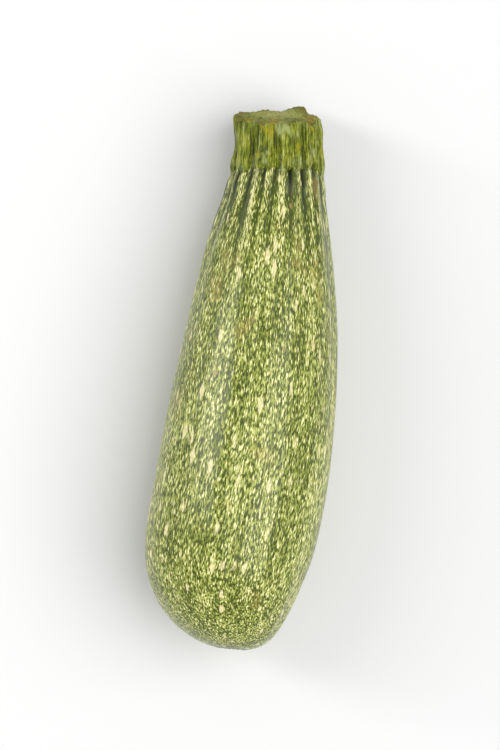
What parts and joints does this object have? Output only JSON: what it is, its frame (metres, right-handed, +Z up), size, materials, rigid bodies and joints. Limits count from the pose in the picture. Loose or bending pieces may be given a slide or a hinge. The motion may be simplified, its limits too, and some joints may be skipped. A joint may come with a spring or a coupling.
{
  "type": "courgette",
  "caption": "Whole pale green courgette lying on its side, with a tapered neck, a rounded blossom end and a short ribbed stalk cut at a slant.",
  "frame": {"origin": "on the resting surface, under the middle of the whole courgette's box", "axes": "+Z up from the resting surface, +Y along the courgette from its blossom end towards its stalk"},
  "size_m": [0.0576, 0.176, 0.0549],
  "materials": {
    "skin": "satin",
    "stalk": "matte"
  },
  "bodies": {
    "root": {"fruit": "skin", "stalk": "stalk"}
  },
  "joints": []
}
